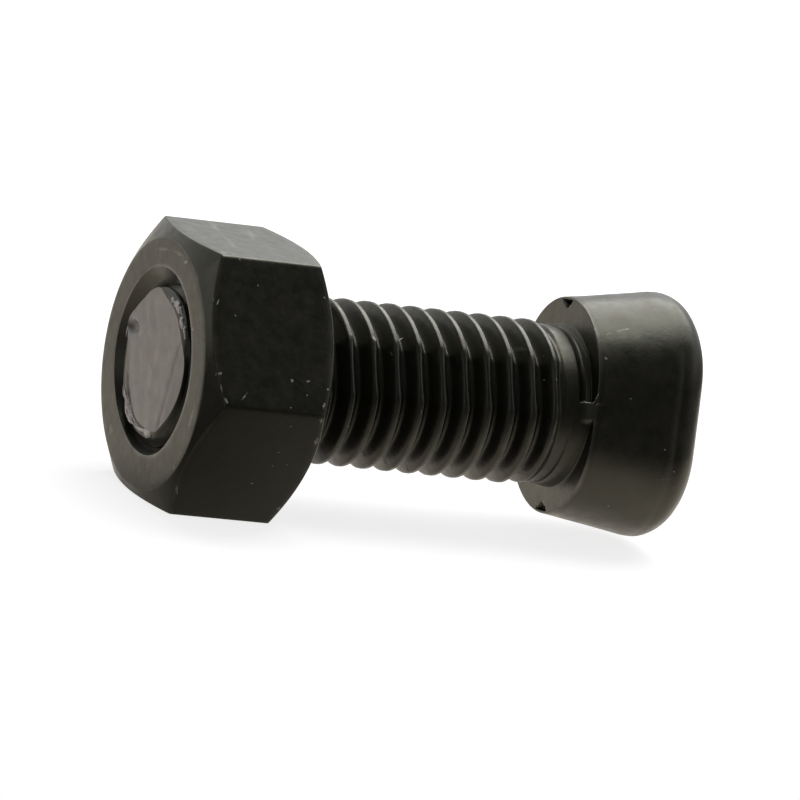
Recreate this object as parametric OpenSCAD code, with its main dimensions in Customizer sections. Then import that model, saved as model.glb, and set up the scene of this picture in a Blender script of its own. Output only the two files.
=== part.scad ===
// Oval head bolt with its hex nut, lying on one flat of the nut.
// X runs along the bolt, from the nut to the head, and Z is up.
// The origin is the centre of the face under the head, on the bolt's axis.

/* [Thread] */
// Major diameter of the thread, over its crests
thread_d = 9.95; // [9.6:0.05:10.4]
// Distance from one crest to the next
thread_pitch = 1.5; // [1.25:0.25:1.75]
// Depth of the groove below the crest, as a share of the pitch
groove_ratio = 0.613; // [0.5:0.01:0.65]
// Width of the flat on the crest
crest_w = 0.22; // [0.15:0.01:0.3]
// Width of the flat at the root
root_w = 0.34; // [0.25:0.01:0.4]
// Turn of the thread about the axis
thread_turn = 252; // [0:1:359]

/* [Shank] */
// Length from the head's underside to the bolt's end
shank_l = 26.5; // [22:0.1:40]
// Length of the chamfer that leads in the thread
lead_l = 0.6; // [0.4:0.1:1.5]
// Diameter of the bolt's end before its chamfer widens
end_d = 8.7; // [8:0.1:9.2]
// Length of the plain neck under the head
neck_l = 1.6; // [1.4:0.1:4]
// Diameter of the neck
neck_d = 9.56; // [9.3:0.02:9.6]
// Axial length over which the thread runs out into the neck
runout_l = 1; // [0.8:0.1:3]
// Depth of the shallow groove round the neck
ring_h = 0.16; // [0.05:0.01:0.25]
// Radial step from the thread's crest to the root of the fillet under the head
fillet_step = 0.03; // [0.02:0.01:0.08]

/* [Head] */
// Width across the head's parallel sides
head_w = 10.9; // [10.6:0.1:14]
// Length of the oval at the bearing face
head_l = 13.1; // [12.8:0.1:18]
// Height of the head at its middle
head_h = 8.1; // [6.5:0.1:12]
// Flare of the two round ends, in degrees
head_flare = 8.9; // [3:0.1:12]
// Radius of the rounded rim
rim_r = 1.8; // [0.8:0.1:2.4]
// Radius of the shallow crown
crown_r = 16; // [12:0.5:40]
// Turn of the oval's long way from upright, in degrees
head_turn = 10.5; // [0:0.5:90]
// Height of the V notch at each end of the bearing face
notch_h = 0.5; // [0.3:0.05:0.6]
// Width of the V notch
notch_w = 1.3; // [0.8:0.1:1.6]
// Depth of the V notch
notch_t = 0.4; // [0.2:0.1:1]
// Width of the rib that ties the neck to one side of the head
rib_w = 1.3; // [0.8:0.1:2]

/* [Nut] */
// Width across the nut's flats
nut_af = 15.75; // [15.2:0.05:18]
// Height of the nut
nut_h = 8.2; // [6:0.1:10]
// Diameter of the chamfer circle on both faces
nut_face_d = 14.9; // [13:0.1:15.1]
// Slope of the corner chamfers, in degrees
nut_slope = 30; // [20:1:35]
// Diameter of the countersink's mouth
sink_d = 11.4; // [10.6:0.1:12.5]
// Gap between the thread's crest and the nut's bore
bore_gap = 0.05; // [0.03:0.01:0.1]
// Distance from the nut's outer face to the bolt's end
nut_set = 0; // [0:0.1:4]

/* [Hidden] */
$fn = 96;
steel = "#23221f";
worn_steel = "#2a2926";

// Radii of the thread along the axis: chamfer, full depth, run-out, core
turn_steps = 24;
crest_r = thread_d / 2;
root_r = crest_r - groove_ratio * thread_pitch;
end_r = end_d / 2;
neck_r = neck_d / 2;
core_r = root_r + 0.1;
fade_r = neck_r - 0.05;
fade_x = -neck_l - 0.1;
full_x = fade_x - runout_l;
function ramp(x, x0, x1) = min(1, max(0, (x - x0) / (x1 - x0)));
function mix(a, b, t) = a + (b - a) * t;
function lead_in(x) = mix(end_r, crest_r, ramp(x, -shank_l, -shank_l + lead_l));
function run_out(x, r) = mix(mix(r, fade_r, ramp(x, full_x, fade_x)), core_r, ramp(x, -neck_l, -neck_l + 0.3));
function crest_at(x) = min(lead_in(x), run_out(x, crest_r));
function root_at(x) = min(crest_at(x), run_out(x - runout_l / 4, root_r));

// The skin starts before the end face, to be cut there, and stops in the head
skin_start = -shank_l - 1.5 * thread_pitch;
skin_turns = ceil((shank_l + 3.5 * thread_pitch) / thread_pitch);
flank_x = [root_w / 2 - thread_pitch / 2, -crest_w / 2, crest_w / 2, thread_pitch / 2 - root_w / 2];
function on_axis(x, r, a) = [x, -r * cos(a), r * sin(a)];
function corner(x, k, a) = on_axis(x, k == 0 || k == 3 ? root_at(x) : crest_at(x), a);
function section(i) = let (x = skin_start + thread_pitch * i / turn_steps)
    [for (k = [0:3]) corner(x + flank_x[k], k, thread_turn - 360 * i / turn_steps)];

// The oval's flared sides are two tilted half rounds with a wedge between them
end_half = head_w / 2;
side_r = end_half + 0.05;
side_z = head_l / 2 - side_r / cos(head_flare);
flare = tan(head_flare);

// Its rim and crown belong to an upright oval, as long as the flare is at the rim
fillet_y = end_half - rim_r;
crown_x = head_h - crown_r;
rim_x = crown_x + sqrt(pow(crown_r - rim_r, 2) - pow(fillet_y, 2));
rim_z = head_l / 2 + flare * rim_x - rim_r / cos(head_flare) - fillet_y;

// Neck: plain part, shallow groove, collar, and a fillet into the bearing face
seat_r = crest_r + fillet_step;
groove_r = neck_r - ring_h;
neck_points = [
    [0, -neck_l],
    [neck_r, -neck_l],
    [neck_r, -1.2],
    [groove_r, -0.88],
    [groove_r, -0.65],
    [neck_r, -0.47],
    [neck_r, -0.28],
    [groove_r, -0.16],
    [seat_r, 0],
    [seat_r, 0.4],
    [0, 0.4]
];

// Nut, from its outer face to its inner face
nut_x = -shank_l - nut_set;
bore_r = crest_r + bore_gap;
sink_r = sink_d / 2;
sink_h = sink_r - bore_r;
face_r = nut_face_d / 2;
over_r = nut_af / sqrt(3) + 1;
over_h = (over_r - face_r) * tan(nut_slope);

module thread_skin() {
    last = skin_turns * turn_steps;
    rings = [for (i = [0:last]) section(i)];
    corners = [for (ring = rings) each ring];
    foot = len(corners);
    tip = foot + 1;
    back = 4 * turn_steps;
    flanks = [for (i = [0:last - 1]) for (k = [0:2]) let (p = 4 * i + k) each [[p, p + 1, p + 5], [p, p + 5, p + 4]]];
    roots = [for (i = [0:last - turn_steps - 1]) let (p = 4 * i + 3) each [[p, p + back - 3, p + back + 1], [p, p + back + 1, p + 4]]];
    foot_fan = [for (i = [0:turn_steps - 1]) [foot, 4 * i, 4 * (i + 1)]];
    foot_step = [[foot, 1, 0], [foot, 2, 1], [foot, 3, 2], [foot, back, 3]];
    tip_fan = [for (i = [last - turn_steps:last - 1]) [tip, 4 * (i + 1) + 3, 4 * i + 3]];
    end_row = 4 * last;
    tip_step = [[tip, end_row, end_row + 1], [tip, end_row + 1, end_row + 2], [tip, end_row + 2, end_row + 3], [tip, end_row - back + 3, end_row]];
    polyhedron(
        points = concat(corners, [[corners[0][0], 0, 0], [corners[foot - 1][0], 0, 0]]),
        faces = concat(flanks, roots, foot_fan, foot_step, tip_fan, tip_step)
    );
}

module threaded_rod() {
    intersection() {
        thread_skin();
        translate([-shank_l, -thread_d, -thread_d]) cube([shank_l + 3, 2 * thread_d, 2 * thread_d]);
    }
}

module neck() {
    rotate([0, 90, 0]) rotate_extrude() polygon(neck_points);
}

// Half outline of the head across its parallel sides
module head_outline() {
    reach = 1.3;
    square([end_half, rim_x]);
    translate([fillet_y, rim_x]) circle(r = rim_r);
    intersection() {
        translate([0, crown_x]) circle(r = crown_r);
        polygon([
            [0, 0],
            [fillet_y, 0],
            [fillet_y, rim_x],
            [fillet_y * reach, crown_x + (rim_x - crown_x) * reach],
            [0, head_h + 2]
        ]);
    }
}

module flared_side() {
    translate([0, 0, side_z]) rotate([0, -head_flare, 0]) rotate([0, 90, 0]) rotate([0, 0, 90])
        translate([0, 0, -4]) rotate_extrude(angle = 180) square([side_r, head_h + 8]);
}

module flared_sides() {
    back = -2;
    front = head_h + 2;
    flared_side();
    rotate([180, 0, 0]) flared_side();
    rotate([90, 0, 0]) linear_extrude(2 * side_r, center = true)
        polygon([
            [back, -side_z - flare * back],
            [front, -side_z - flare * front],
            [front, side_z + flare * front],
            [back, side_z + flare * back]
        ]);
}

module crowned_end() {
    translate([0, 0, rim_z]) rotate([0, 90, 0]) rotate([0, 0, 90]) rotate_extrude(angle = 180) head_outline();
}

module crowned_oval() {
    crowned_end();
    rotate([180, 0, 0]) crowned_end();
    translate([0, 0, -rim_z]) linear_extrude(2 * rim_z) {
        rotate(-90) head_outline();
        rotate(-90) mirror([1, 0]) head_outline();
    }
}

module notch() {
    z = head_l / 2 - 0.18;
    translate([-1, 0, 0]) rotate([90, 0, 90]) linear_extrude(1 + notch_t)
        polygon([[-notch_w / 2, z - 0.05], [notch_w / 2, z - 0.05], [0, z - notch_h]]);
}

module rib() {
    translate([0, 0, -rib_w / 2 - 0.1]) linear_extrude(rib_w)
        polygon([[-1.25, -neck_r + 0.4], [-1.25, -neck_r - 0.02], [0.4, 0.05 - end_half], [0.4, -neck_r + 0.4]]);
}

module head() {
    rotate([-head_turn, 0, 0]) {
        difference() {
            intersection() {
                crowned_oval();
                flared_sides();
            }
            notch();
            rotate([180, 0, 0]) notch();
        }
        rib();
    }
}

module bolt() {
    color(steel) {
        head();
        neck();
        threaded_rod();
    }
}

module nut() {
    color(worn_steel) translate([nut_x, 0, 0]) rotate([0, 90, 0]) rotate(30) difference() {
        intersection() {
            cylinder(h = nut_h, r = nut_af / sqrt(3), $fn = 6);
            rotate_extrude() polygon([[0, 0], [face_r, 0], [over_r, over_h], [over_r, nut_h - over_h], [face_r, nut_h], [0, nut_h]]);
        }
        translate([0, 0, -1]) cylinder(h = nut_h + 2, r = bore_r);
        translate([0, 0, -1]) cylinder(h = sink_h + 1, r1 = sink_r + 1, r2 = bore_r);
        translate([0, 0, nut_h - sink_h]) cylinder(h = sink_h + 1, r1 = bore_r, r2 = sink_r + 1);
    }
}

bolt();
nut();
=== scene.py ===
import math
import bmesh
import bpy
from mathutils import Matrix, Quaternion, Vector, noise


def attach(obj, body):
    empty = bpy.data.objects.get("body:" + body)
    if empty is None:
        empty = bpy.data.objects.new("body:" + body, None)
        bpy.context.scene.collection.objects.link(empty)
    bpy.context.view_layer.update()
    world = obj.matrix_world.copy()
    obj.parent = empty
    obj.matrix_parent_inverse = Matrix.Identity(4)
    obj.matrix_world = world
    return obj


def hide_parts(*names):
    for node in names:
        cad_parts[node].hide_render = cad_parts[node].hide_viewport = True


# Oval head bolt with its hex nut, in black oxide steel. X runs from the nut to the head, Z is up.
# Sizes in the dictionaries are millimetres and degrees. The Blender objects are in metres.
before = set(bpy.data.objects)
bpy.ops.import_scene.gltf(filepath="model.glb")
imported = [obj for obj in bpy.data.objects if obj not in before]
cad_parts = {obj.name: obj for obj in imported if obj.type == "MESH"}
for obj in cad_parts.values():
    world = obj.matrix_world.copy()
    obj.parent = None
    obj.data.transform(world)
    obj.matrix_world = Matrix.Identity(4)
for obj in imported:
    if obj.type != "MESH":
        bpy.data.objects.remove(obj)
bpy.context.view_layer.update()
mm = 0.001
columns = 180  # points round the axis in the thread's rings, two degrees apart
fineAngles = [k * 360 / (2 * columns) for k in range(2 * columns)]


def linearColor(hexCode):
    parts = [int(hexCode[i:i + 2], 16) / 255 for i in (1, 3, 5)]
    return [p / 12.92 if p <= 0.04045 else ((p + 0.055) / 1.055) ** 2.4 for p in parts] + [1.0]


def addNode(tree, kind, inputs=None, **settings):
    # A node among the inputs stands for its first output
    node = tree.nodes.new(kind)
    for name, value in settings.items():
        setattr(node, name, value)
    for key, value in (inputs or {}).items():
        value = value.outputs[0] if isinstance(value, bpy.types.Node) else value
        if isinstance(value, bpy.types.NodeSocket):
            tree.links.new(value, node.inputs[key])
        else:
            node.inputs[key].default_value = value
    return node


def newMaterial(name):
    material = bpy.data.materials.new(name)
    material.use_nodes = True
    material.node_tree.nodes.clear()
    return material


def addObject(name, data):
    item = bpy.data.objects.new(name, data)
    bpy.context.scene.collection.objects.link(item)
    return item


def cosine(angle):
    return math.cos(math.radians(angle))


def sine(angle):
    return math.sin(math.radians(angle))


def ramp(value, low, high):
    return min(1.0, max(0.0, (value - low) / (high - low)))


def soft(value, low, high):
    t = ramp(value, low, high)
    return t * t * (3 - 2 * t)


def between(value, start, full, fade, end):
    return soft(value, start, full) * (1 - soft(value, fade, end))


def mix(a, b, t):
    return a + (b - a) * t


def onAxis(x, radius, angle):
    # angle 0 faces the front, -Y, and 90 faces up
    return Vector((x, -radius * cosine(angle), radius * sine(angle))) * mm


# Camera and lights

cameraSizes = {
    "azimuth": -26.295,
    "elevation": 12.076,
    "roll": 11.887,
    "distance": 451.44,
    "lens": 341.37,
    "target": (-10.212, 0.0, -0.693),
}


def makeCamera():
    size = cameraSizes
    azimuth, elevation = size["azimuth"], size["elevation"]
    level = cosine(elevation)
    back = Vector((sine(azimuth) * level, -cosine(azimuth) * level, sine(elevation)))
    data = bpy.data.cameras.new("photoCamera")
    data.sensor_width = 36
    data.lens = size["lens"]
    data.clip_start = 0.01
    camera = addObject("photoCamera", data)
    camera.location = (Vector(size["target"]) + back * size["distance"]) * mm
    turn = (-back).to_track_quat("-Z", "Y") @ Quaternion((0, 0, 1), math.radians(size["roll"]))
    camera.rotation_mode = "QUATERNION"
    camera.rotation_quaternion = turn
    bpy.context.scene.camera = camera


studio = {
    "floorZ": -7.875,
    # the paper's colour and the darker colour of its painted shade, the warm colour of its painted glow, and
    # the grey that the camera sees
    "floorColor": "#a39d94",
    "paintedFloorShade": "#3a3835",
    "paintedGlowWarm": "#fff6ec",
    "floorSeen": "#999999",
    "floorFront": 45,  # the paper ends this far in front of the bolt, and the room beyond is dark
    "shadeFront": -25, "shadeBack": 3,  # between these the painted light on the paper goes from shade to full light
    "shadeTurn": 0.35,
    "shadeLow": 0.08,
    "fadeLeft": -45, "fadeLow": 0.6,
    "fadeRight": 95, "fadeRightLow": 0.05,
    "floorReach": 900,
    "floorGloss": 0.95,
    "floorGlow": 0.8,
    "shadowReach": 30,
    "worldSoft": 0.3,
    "overheadPower": 1.56,
    "overheadPlace": (120, 117, 310),
    "overheadAim": (-10, 0, 0),
    "overheadSpan": (310, 400),
}
# The room that the metal mirrors: an axis, where on it a tone starts and ends, and the tone's two levels
room = {
    "depth": ("Y", 0.15, 0.85, 0.06, 1.0),  # white behind the object, and darker in front of it
    "panelAcross": ("X", 0.5, 0.85, 0.0, 1.0),  # a weaker panel stands high on the right
    "panelUp": ("Z", 0.0, 0.35, 0.0, 0.65),
    "ceiling": ("Z", 0.72, 0.95, 0.0, 0.18),  # a little lighter than the front wall
    "wallAcross": ("X", -0.6, -0.8, 0.0, 0.42),  # a grey wall on the left shines into the countersink
    "wallFront": ("Y", 0.0, -0.25, 0.0, 1.0),
}
roomSums = (
    ("panel", "MULTIPLY", "panelAcross", "panelUp"),
    ("wall", "MULTIPLY", "wallAcross", "wallFront"),
    ("above", "MAXIMUM", "panel", "ceiling"),
    ("sides", "MAXIMUM", "above", "wall"),
    ("whole", "MAXIMUM", "depth", "sides"),
)


def makeWorld():
    world = bpy.data.worlds.new("whiteStudio")
    bpy.context.scene.world = world
    world.use_nodes = True
    tree = world.node_tree
    tree.nodes.clear()
    path = addNode(tree, "ShaderNodeLightPath")
    place = addNode(tree, "ShaderNodeTexCoord")
    axes = addNode(tree, "ShaderNodeSeparateXYZ", {0: place.outputs["Generated"]})
    tones = {}
    for name, (axis, start, end, low, high) in room.items():
        tones[name] = addNode(tree, "ShaderNodeMapRange", {
            "Value": axes.outputs[axis], "From Min": start, "From Max": end, "To Min": low, "To Max": high,
        }, interpolation_type="SMOOTHSTEP")
    for name, operation, first, second in roomSums:
        parts = {0: tones[first], 1: tones[second]}
        tones[name] = addNode(tree, "ShaderNodeMath", parts, operation=operation)
    rays = {0: path.outputs["Is Glossy Ray"], 1: path.outputs["Is Transmission Ray"]}
    mirrored = addNode(tree, "ShaderNodeMath", rays, operation="MAXIMUM")
    lit = addNode(tree, "ShaderNodeMix", {"Factor": mirrored, "A": studio["worldSoft"], "B": tones["whole"]})
    shown = addNode(tree, "ShaderNodeMix", {"Factor": path.outputs["Is Camera Ray"], "A": lit, "B": 1.0})
    light = addNode(tree, "ShaderNodeBackground", {"Color": (1, 1, 1, 1), "Strength": shown})
    addNode(tree, "ShaderNodeOutputWorld", {"Surface": light})


def makeFloor():
    size = studio
    mesh = bpy.data.meshes.new("floor")
    reach, front, z = size["floorReach"] * mm, size["floorFront"] * mm, size["floorZ"] * mm
    corners = [(-reach, -front, z), (reach, -front, z), (reach, reach, z), (-reach, reach, z)]
    mesh.from_pydata(corners, [], [(0, 1, 2, 3)])
    floor = addObject("floor", mesh)
    # Matt white paper, which takes a faint shadow and is mirrored in the metal
    material = newMaterial("whitePaperFloor")
    tree = material.node_tree
    path = addNode(tree, "ShaderNodeLightPath")
    seen = path.outputs["Is Camera Ray"]
    place = addNode(tree, "ShaderNodeTexCoord").outputs["Object"]
    axes = addNode(tree, "ShaderNodeSeparateXYZ", {0: place})
    # Painted light and shade: for the metal's mirror the paper glows and is tinted as if in full light behind
    # the bolt and in shade before it
    back = addNode(tree, "ShaderNodeMath", {
        0: axes.outputs["X"], 1: size["shadeTurn"], 2: axes.outputs["Y"],
    }, operation="MULTIPLY_ADD")
    lit = addNode(tree, "ShaderNodeMapRange", {
        "Value": back, "From Min": size["shadeFront"] * mm, "From Max": size["shadeBack"] * mm,
        "To Min": size["shadeLow"], "To Max": 1.0,
    }, interpolation_type="SMOOTHSTEP")
    # The painted light fades towards both sides
    fade = addNode(tree, "ShaderNodeMapRange", {
        "Value": axes.outputs["X"], "From Min": size["fadeLeft"] * mm, "From Max": 0.0,
        "To Min": size["fadeLow"] * size["floorGloss"], "To Max": size["floorGloss"],
    })
    fadeRight = addNode(tree, "ShaderNodeMapRange", {
        "Value": axes.outputs["X"],
        "From Min": size["fadeRight"] / 2 * mm, "From Max": size["fadeRight"] * mm,
        "To Min": 1.0, "To Max": size["fadeRightLow"],
    }, interpolation_type="SMOOTHSTEP")
    middle = addNode(tree, "ShaderNodeMath", {0: lit, 1: fadeRight}, operation="MULTIPLY")
    paintedShine = addNode(tree, "ShaderNodeMath", {0: middle, 1: fade}, operation="MULTIPLY")
    glossy = addNode(tree, "ShaderNodeMath", {
        0: path.outputs["Is Glossy Ray"], 1: paintedShine,
    }, operation="MULTIPLY")
    # Near the bolt the paper is dim enough for the camera to see the shadow
    away = addNode(tree, "ShaderNodeVectorMath", {0: place, 1: (0, 0, z)}, operation="DISTANCE")
    white = addNode(tree, "ShaderNodeMapRange", {
        "Value": away.outputs["Value"],
        "From Min": size["shadowReach"] * mm, "From Max": 4 * size["shadowReach"] * mm,
        "To Min": size["floorGlow"], "To Max": 1.0,
    }, interpolation_type="SMOOTHSTEP")
    # the camera sees the paper glow white, and the metal mirrors its painted glow
    glow = addNode(tree, "ShaderNodeMath", {0: seen, 1: white, 2: glossy}, operation="MULTIPLY_ADD")
    # painted shade: for all rays but the camera's the paper darkens where its painted light is low
    paintedShadeTint = addNode(tree, "ShaderNodeMix", {
        0: middle, 6: linearColor(size["paintedFloorShade"]), 7: linearColor(size["floorColor"]),
    }, data_type="RGBA")
    tint = addNode(tree, "ShaderNodeMix", {
        0: seen, 6: paintedShadeTint.outputs[2], 7: linearColor(size["floorSeen"]),
    }, data_type="RGBA")
    paper = addNode(tree, "ShaderNodeBsdfDiffuse", {"Color": tint.outputs[2]})
    # the painted glow that the metal mirrors is warm, and the camera's is white
    hue = addNode(tree, "ShaderNodeMix", {
        0: seen, 6: linearColor(size["paintedGlowWarm"]), 7: (1, 1, 1, 1),
    }, data_type="RGBA")
    light = addNode(tree, "ShaderNodeEmission", {"Color": hue.outputs[2], "Strength": glow})
    both = addNode(tree, "ShaderNodeAddShader", {0: paper, 1: light})
    addNode(tree, "ShaderNodeOutputMaterial", {"Surface": both})
    mesh.materials.append(material)


def makeLamp(name):
    data = bpy.data.lights.new(name, "AREA")
    data.shape = "RECTANGLE"
    data.size, data.size_y = (span * mm for span in studio["overheadSpan"])
    data.energy = studio["overheadPower"]
    lamp = addObject(name, data)
    place, aim = Vector(studio["overheadPlace"]), Vector(studio["overheadAim"])
    lamp.location = place * mm
    lamp.rotation_mode = "QUATERNION"
    lamp.rotation_quaternion = (aim - place).to_track_quat("-Z", "Y")


makeCamera()
makeWorld()
makeFloor()
makeLamp("overheadSoftbox")
print("stage: camera, floor and light")


# Materials

markEdge = {"grain": 0.12, "raggedness": 1.6, "least": 0.02, "start": 1.05, "full": 1.45}


def markMask(tree, place, marks):
    # Streaks from one point to another and spots on one point, each with a half width, in millimetres
    total = None
    for *ends, width in marks:
        start, end = Vector(ends[0]), Vector(ends[-1])
        along = end - start
        turn = along.to_track_quat("X", "Z").to_euler() if along.length else (0, 0, 0)
        local = addNode(tree, "ShaderNodeMapping", {
            "Vector": place, "Location": (start + end) / 2 * mm, "Rotation": turn,
            "Scale": Vector((along.length / 2 + width, width, width)) * mm,
        }, vector_type="TEXTURE")
        ball = addNode(tree, "ShaderNodeTexGradient", {0: local}, gradient_type="SPHERICAL")
        spot = ball.outputs[1]
        if total:
            spot = addNode(tree, "ShaderNodeMath", {0: total, 1: spot}, operation="MAXIMUM")
        total = spot
    ragged = addNode(tree, "ShaderNodeTexNoise", {
        "Vector": place, "Scale": 1 / (markEdge["grain"] * mm), "Detail": 2.0,
    })
    broken = addNode(tree, "ShaderNodeMath", {
        0: ragged, 1: markEdge["raggedness"], 2: total,
    }, operation="MULTIPLY_ADD")
    inside = addNode(tree, "ShaderNodeMath", {0: total, 1: markEdge["least"]}, operation="GREATER_THAN")
    mask = addNode(tree, "ShaderNodeMapRange", {
        "Value": broken, "From Min": markEdge["start"], "From Max": markEdge["full"],
    })
    kept = addNode(tree, "ShaderNodeMath", {0: mask, 1: inside}, operation="MULTIPLY")
    return kept


def blackOxide(name, look):
    # Black oxide on steel, a thin dark skin with an oily satin gloss that keeps the metal's own relief
    material = newMaterial(name)
    tree = material.node_tree
    place = addNode(tree, "ShaderNodeTexCoord").outputs["Object"]
    wear = addNode(tree, "ShaderNodeAttribute", attribute_name="wear").outputs["Fac"]
    # the share of bare metal; on the sheared face it is also lowered in a streak of painted shade
    bare = addNode(tree, "ShaderNodeAttribute", attribute_name="bare").outputs["Fac"]
    patterns = {}
    for pattern in ("cloud", "mottle", "grain"):
        patterns[pattern] = addNode(tree, "ShaderNodeTexNoise", {
            "Vector": place, "Scale": 1 / (look[pattern] * mm), "Detail": 4.0, "Roughness": 0.6,
        })
    mottle = addNode(tree, "ShaderNodeMapRange", {
        "Value": patterns["mottle"], "From Min": look["mottleLow"], "From Max": look["mottleHigh"],
    })
    blotch = addNode(tree, "ShaderNodeMath", {0: mottle, 1: look["blotch"]}, operation="MULTIPLY")
    rub = addNode(tree, "ShaderNodeMath", {0: wear, 1: patterns["cloud"]}, operation="MULTIPLY")
    rubbed = addNode(tree, "ShaderNodeMapRange", {
        "Value": rub, "From Min": look["rubStart"], "From Max": look["rubFull"],
        "To Max": look["rubShare"],
    })
    # Dust flecks that cling to the oily skin, about a tenth of a millimetre across
    drift = addNode(tree, "ShaderNodeVectorMath", {
        0: patterns["grain"], 1: [look["fleckDrift"] * mm] * 3, 2: place,
    }, operation="MULTIPLY_ADD")
    fleck = addNode(tree, "ShaderNodeTexVoronoi", {
        "Vector": drift, "Scale": 1 / (look["fleckSpace"] * mm),
    })
    fleckKind = addNode(tree, "ShaderNodeSeparateColor", {0: fleck.outputs["Color"]})
    fleckSize = addNode(tree, "ShaderNodeMapRange", {
        "Value": fleckKind, "From Min": look["fleckFree"], "From Max": 1.0,
        "To Max": look["fleck"] / look["fleckSpace"],
    })
    fleckEdge = addNode(tree, "ShaderNodeMath", {
        0: fleckSize, 1: fleck.outputs["Distance"],
    }, operation="SUBTRACT")
    dust = addNode(tree, "ShaderNodeMapRange", {
        "Value": fleckEdge, "From Max": look["fleckEdge"], "To Max": look["fleckTone"],
    })
    stains, nicks, rubs = (markMask(tree, place, look[marks]) for marks in ("stains", "nicks", "rubs"))
    nicked = addNode(tree, "ShaderNodeMath", {0: nicks, 1: look["nickTone"]}, operation="MULTIPLY")
    faint = addNode(tree, "ShaderNodeMath", {
        0: rubs, 1: look["rubTone"], 2: dust,
    }, operation="MULTIPLY_ADD")
    pale = addNode(tree, "ShaderNodeMath", {0: faint, 1: nicked}, operation="MAXIMUM")
    # The colours lie over each other in this order, from the skin up
    color = linearColor(look["dark"])
    layers = (
        (patterns["cloud"], "pale"), (blotch, "brown"), (rubbed, "worn"),
        (bare, "bare"), (stains, "stain"), (pale, "dust"),
    )
    for share, tone in layers:
        color = addNode(tree, "ShaderNodeMix", {
            0: share, 6: color, 7: linearColor(look[tone]),
        }, data_type="RGBA").outputs[2]
    gloss = addNode(tree, "ShaderNodeMapRange", {
        "Value": patterns["mottle"], "From Min": look["glossLow"], "From Max": look["glossHigh"],
        "To Min": look["roughness"] - look["smoother"], "To Max": look["roughness"] + look["rougher"],
    })
    metal = addNode(tree, "ShaderNodeMath", {
        0: look["metallic"], 1: pale,
    }, operation="SUBTRACT", use_clamp=True)
    swell = addNode(tree, "ShaderNodeBump", {
        "Height": patterns["mottle"], "Strength": look["relief"], "Distance": look["mottleDepth"] * mm,
    })
    pit = addNode(tree, "ShaderNodeMath", {
        0: stains, 1: look["stainPit"], 2: patterns["grain"],
    }, operation="MULTIPLY_ADD")
    relief = addNode(tree, "ShaderNodeBump", {
        "Height": pit, "Strength": look["relief"], "Distance": look["grainDepth"] * mm,
        "Normal": swell,
    })
    shader = addNode(tree, "ShaderNodeBsdfPrincipled", {
        "Base Color": color, "Metallic": metal, "Roughness": gloss,
        "Normal": relief,
    })
    addNode(tree, "ShaderNodeOutputMaterial", {"Surface": shader})
    return material


def tornSteel(name, look):
    # Freshly torn steel without the oxide, brighter than all round it
    material = newMaterial(name)
    tree = material.node_tree
    place = addNode(tree, "ShaderNodeTexCoord").outputs["Object"]
    strands = addNode(tree, "ShaderNodeTexNoise", {
        "Vector": place, "Scale": 1 / (look["strand"] * mm), "Detail": 3.0,
    })
    tone = addNode(tree, "ShaderNodeMix", {
        0: strands, 6: linearColor(look["dark"]), 7: linearColor(look["pale"]),
    }, data_type="RGBA")
    relief = addNode(tree, "ShaderNodeBump", {
        "Height": strands, "Strength": look["relief"], "Distance": look["strandDepth"] * mm,
    })
    shader = addNode(tree, "ShaderNodeBsdfPrincipled", {
        "Base Color": tone.outputs[2], "Metallic": 1.0, "Roughness": look["roughness"],
        "Normal": relief,
    })
    addNode(tree, "ShaderNodeOutputMaterial", {"Surface": shader})
    return material


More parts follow.
